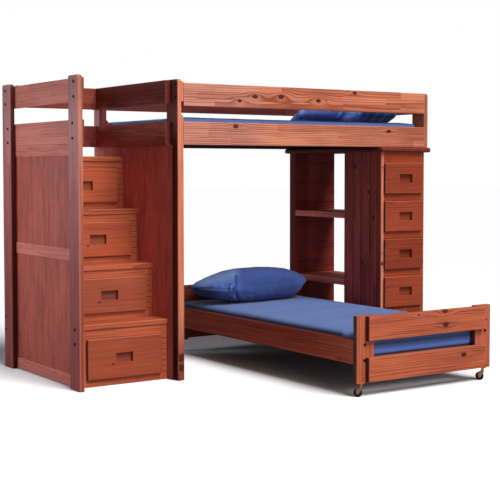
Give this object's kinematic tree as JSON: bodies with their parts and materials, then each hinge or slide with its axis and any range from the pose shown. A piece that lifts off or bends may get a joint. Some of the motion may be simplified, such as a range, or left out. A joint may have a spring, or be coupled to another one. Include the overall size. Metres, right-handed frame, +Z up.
{
  "type": "loft bed with stairs",
  "caption": "Wooden loft bed with a staircase of drawers, a chest and bookcase under one end, and a separate lower bed on casters that rolls out from below it.",
  "frame": {"origin": "on the floor, below the middle of the whole assembly's bounding box", "axes": "+X along the loft, from the stairs towards the chest; +Y from the front towards the back; +Z up"},
  "size_m": [2.677, 2.161, 1.82],
  "materials": {
    "pine": "reddish brown satin lacquer over solid pine",
    "panel": "reddish brown satin lacquer over plywood and planks",
    "drawer": "reddish brown satin lacquer over solid pine",
    "slats": "stained, unpolished",
    "blue_bedding": "plain blue cotton",
    "navy_bedding": "plain navy cotton",
    "caster_metal": "copper coloured plating",
    "caster_wheel": "smooth black"
  },
  "bodies": {
    "frame": {"left_front_post": "pine", "left_back_post": "pine", "right_front_post": "pine", "right_back_post": "pine", "left_upper_rail": "pine", "left_lower_rail": "pine", "right_upper_rail": "pine", "right_lower_rail": "pine", "left_side_panel": "panel", "right_side_panel": "panel", "tower_back_upper_rail": "pine", "tower_back_lower_rail": "pine", "stair_base_and_back": "panel", "stair_step_1": "pine", "stair_step_2": "pine", "stair_step_3": "pine", "stair_step_4": "pine", "loft_front_upper_rail": "pine", "loft_front_lower_rail": "pine", "loft_back_upper_rail": "pine", "loft_back_lower_rail": "pine", "loft_end_front_post": "pine", "loft_end_back_post": "pine", "loft_end_upper_rail": "pine", "loft_end_lower_rail": "pine", "loft_slat_deck": "slats", "loft_mattress": "blue_bedding", "loft_pillow": "navy_bedding", "end_unit_top": "pine", "chest_case": "panel", "bookcase_upper_shelf": "pine", "bookcase_lower_shelf": "pine", "bookcase_end_panel": "panel"},
    "stair_drawer_1_body": {"stair_drawer_1": "drawer"},
    "stair_drawer_2_body": {"stair_drawer_2": "drawer"},
    "stair_drawer_3_body": {"stair_drawer_3": "drawer"},
    "stair_drawer_4_body": {"stair_drawer_4": "drawer"},
    "chest_drawer_1_body": {"chest_drawer_1": "drawer"},
    "chest_drawer_2_body": {"chest_drawer_2": "drawer"},
    "chest_drawer_3_body": {"chest_drawer_3": "drawer"},
    "chest_drawer_4_body": {"chest_drawer_4": "drawer"},
    "chest_drawer_5_body": {"chest_drawer_5": "drawer"},
    "rolling_bed": {"foot_left_post": "pine", "foot_right_post": "pine", "foot_upper_board": "pine", "foot_lower_board": "pine", "headboard": "pine", "roll_left_rail": "pine", "roll_right_rail": "pine", "roll_slat_deck": "slats", "roll_mattress": "blue_bedding", "roll_pillow": "blue_bedding"},
    "front_left_swivel": {"caster_front_left_fork": "caster_metal"},
    "front_right_swivel": {"caster_front_right_fork": "caster_metal"},
    "back_left_swivel": {"caster_back_left_fork": "caster_metal"},
    "back_right_swivel": {"caster_back_right_fork": "caster_metal"},
    "front_left_wheel": {"caster_front_left_wheel": "caster_wheel"},
    "front_right_wheel": {"caster_front_right_wheel": "caster_wheel"},
    "back_left_wheel": {"caster_back_left_wheel": "caster_wheel"},
    "back_right_wheel": {"caster_back_right_wheel": "caster_wheel"}
  },
  "joints": [
    {"name": "stair_drawer_1_slide", "type": "slide", "parent": "frame", "child": "stair_drawer_1_body", "axis": [0, -1, 0], "range_m": [0, 0.27]},
    {"name": "stair_drawer_2_slide", "type": "slide", "parent": "frame", "child": "stair_drawer_2_body", "axis": [0, -1, 0], "range_m": [0, 0.27]},
    {"name": "stair_drawer_3_slide", "type": "slide", "parent": "frame", "child": "stair_drawer_3_body", "axis": [0, -1, 0], "range_m": [0, 0.27]},
    {"name": "stair_drawer_4_slide", "type": "slide", "parent": "frame", "child": "stair_drawer_4_body", "axis": [0, -1, 0], "range_m": [0, 0.27]},
    {"name": "chest_drawer_1_slide", "type": "slide", "parent": "frame", "child": "chest_drawer_1_body", "axis": [0, -1, 0], "range_m": [0, 0.25]},
    {"name": "chest_drawer_2_slide", "type": "slide", "parent": "frame", "child": "chest_drawer_2_body", "axis": [0, -1, 0], "range_m": [0, 0.25]},
    {"name": "chest_drawer_3_slide", "type": "slide", "parent": "frame", "child": "chest_drawer_3_body", "axis": [0, -1, 0], "range_m": [0, 0.25]},
    {"name": "chest_drawer_4_slide", "type": "slide", "parent": "frame", "child": "chest_drawer_4_body", "axis": [0, -1, 0], "range_m": [0, 0.25]},
    {"name": "chest_drawer_5_slide", "type": "slide", "parent": "frame", "child": "chest_drawer_5_body", "axis": [0, -1, 0], "range_m": [0, 0.25]},
    {"name": "rolling_bed_slide", "type": "slide", "parent": "frame", "child": "rolling_bed", "axis": [0, -1, 0], "range_m": [0, 0.8]},
    {"name": "front_left_swivel_turn", "type": "hinge", "parent": "rolling_bed", "child": "front_left_swivel", "pos_m": [-0.0885, -1.0322, 0.079], "axis": [0, 0, 1], "continuous": true},
    {"name": "front_right_swivel_turn", "type": "hinge", "parent": "rolling_bed", "child": "front_right_swivel", "pos_m": [0.8635, -1.0322, 0.079], "axis": [0, 0, 1], "continuous": true},
    {"name": "back_left_swivel_turn", "type": "hinge", "parent": "rolling_bed", "child": "back_left_swivel", "pos_m": [-0.0885, 0.9902, 0.079], "axis": [0, 0, 1], "continuous": true},
    {"name": "back_right_swivel_turn", "type": "hinge", "parent": "rolling_bed", "child": "back_right_swivel", "pos_m": [0.8635, 0.9902, 0.079], "axis": [0, 0, 1], "continuous": true},
    {"name": "front_left_wheel_turn", "type": "hinge", "parent": "front_left_swivel", "child": "front_left_wheel", "pos_m": [-0.10123, -1.01947, 0.025], "axis": [0.7071, 0.7071, 0], "continuous": true},
    {"name": "front_right_wheel_turn", "type": "hinge", "parent": "front_right_swivel", "child": "front_right_wheel", "pos_m": [0.85077, -1.01947, 0.025], "axis": [0.7071, 0.7071, 0], "continuous": true},
    {"name": "back_left_wheel_turn", "type": "hinge", "parent": "back_left_swivel", "child": "back_left_wheel", "pos_m": [-0.10123, 1.00293, 0.025], "axis": [0.7071, 0.7071, 0], "continuous": true},
    {"name": "back_right_wheel_turn", "type": "hinge", "parent": "back_right_swivel", "child": "back_right_wheel", "pos_m": [0.85077, 1.00293, 0.025], "axis": [0.7071, 0.7071, 0], "continuous": true}
  ]
}
